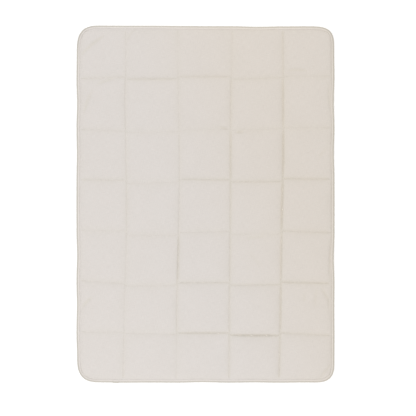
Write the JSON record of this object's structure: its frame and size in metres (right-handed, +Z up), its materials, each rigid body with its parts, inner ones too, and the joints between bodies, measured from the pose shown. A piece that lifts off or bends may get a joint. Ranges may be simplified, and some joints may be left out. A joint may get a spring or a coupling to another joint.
{
  "type": "duvet",
  "caption": "Single duvet lying flat: soft filling sewn into square boxes, rounded corners and a narrow folded binding round its edge. It covers a sleeper on a bed.",
  "frame": {"origin": "centre of the underside, on the surface the duvet lies on", "axes": "+X across its width, +Y along its length to the head end, +Z up through its thickness"},
  "size_m": [1.55, 2.15, 0.0297],
  "materials": {
    "cover_cloth": "matte",
    "binding_cloth": "matte"
  },
  "bodies": {
    "root": {"quilted_body": "cover_cloth", "edge_binding": "binding_cloth"}
  },
  "joints": []
}
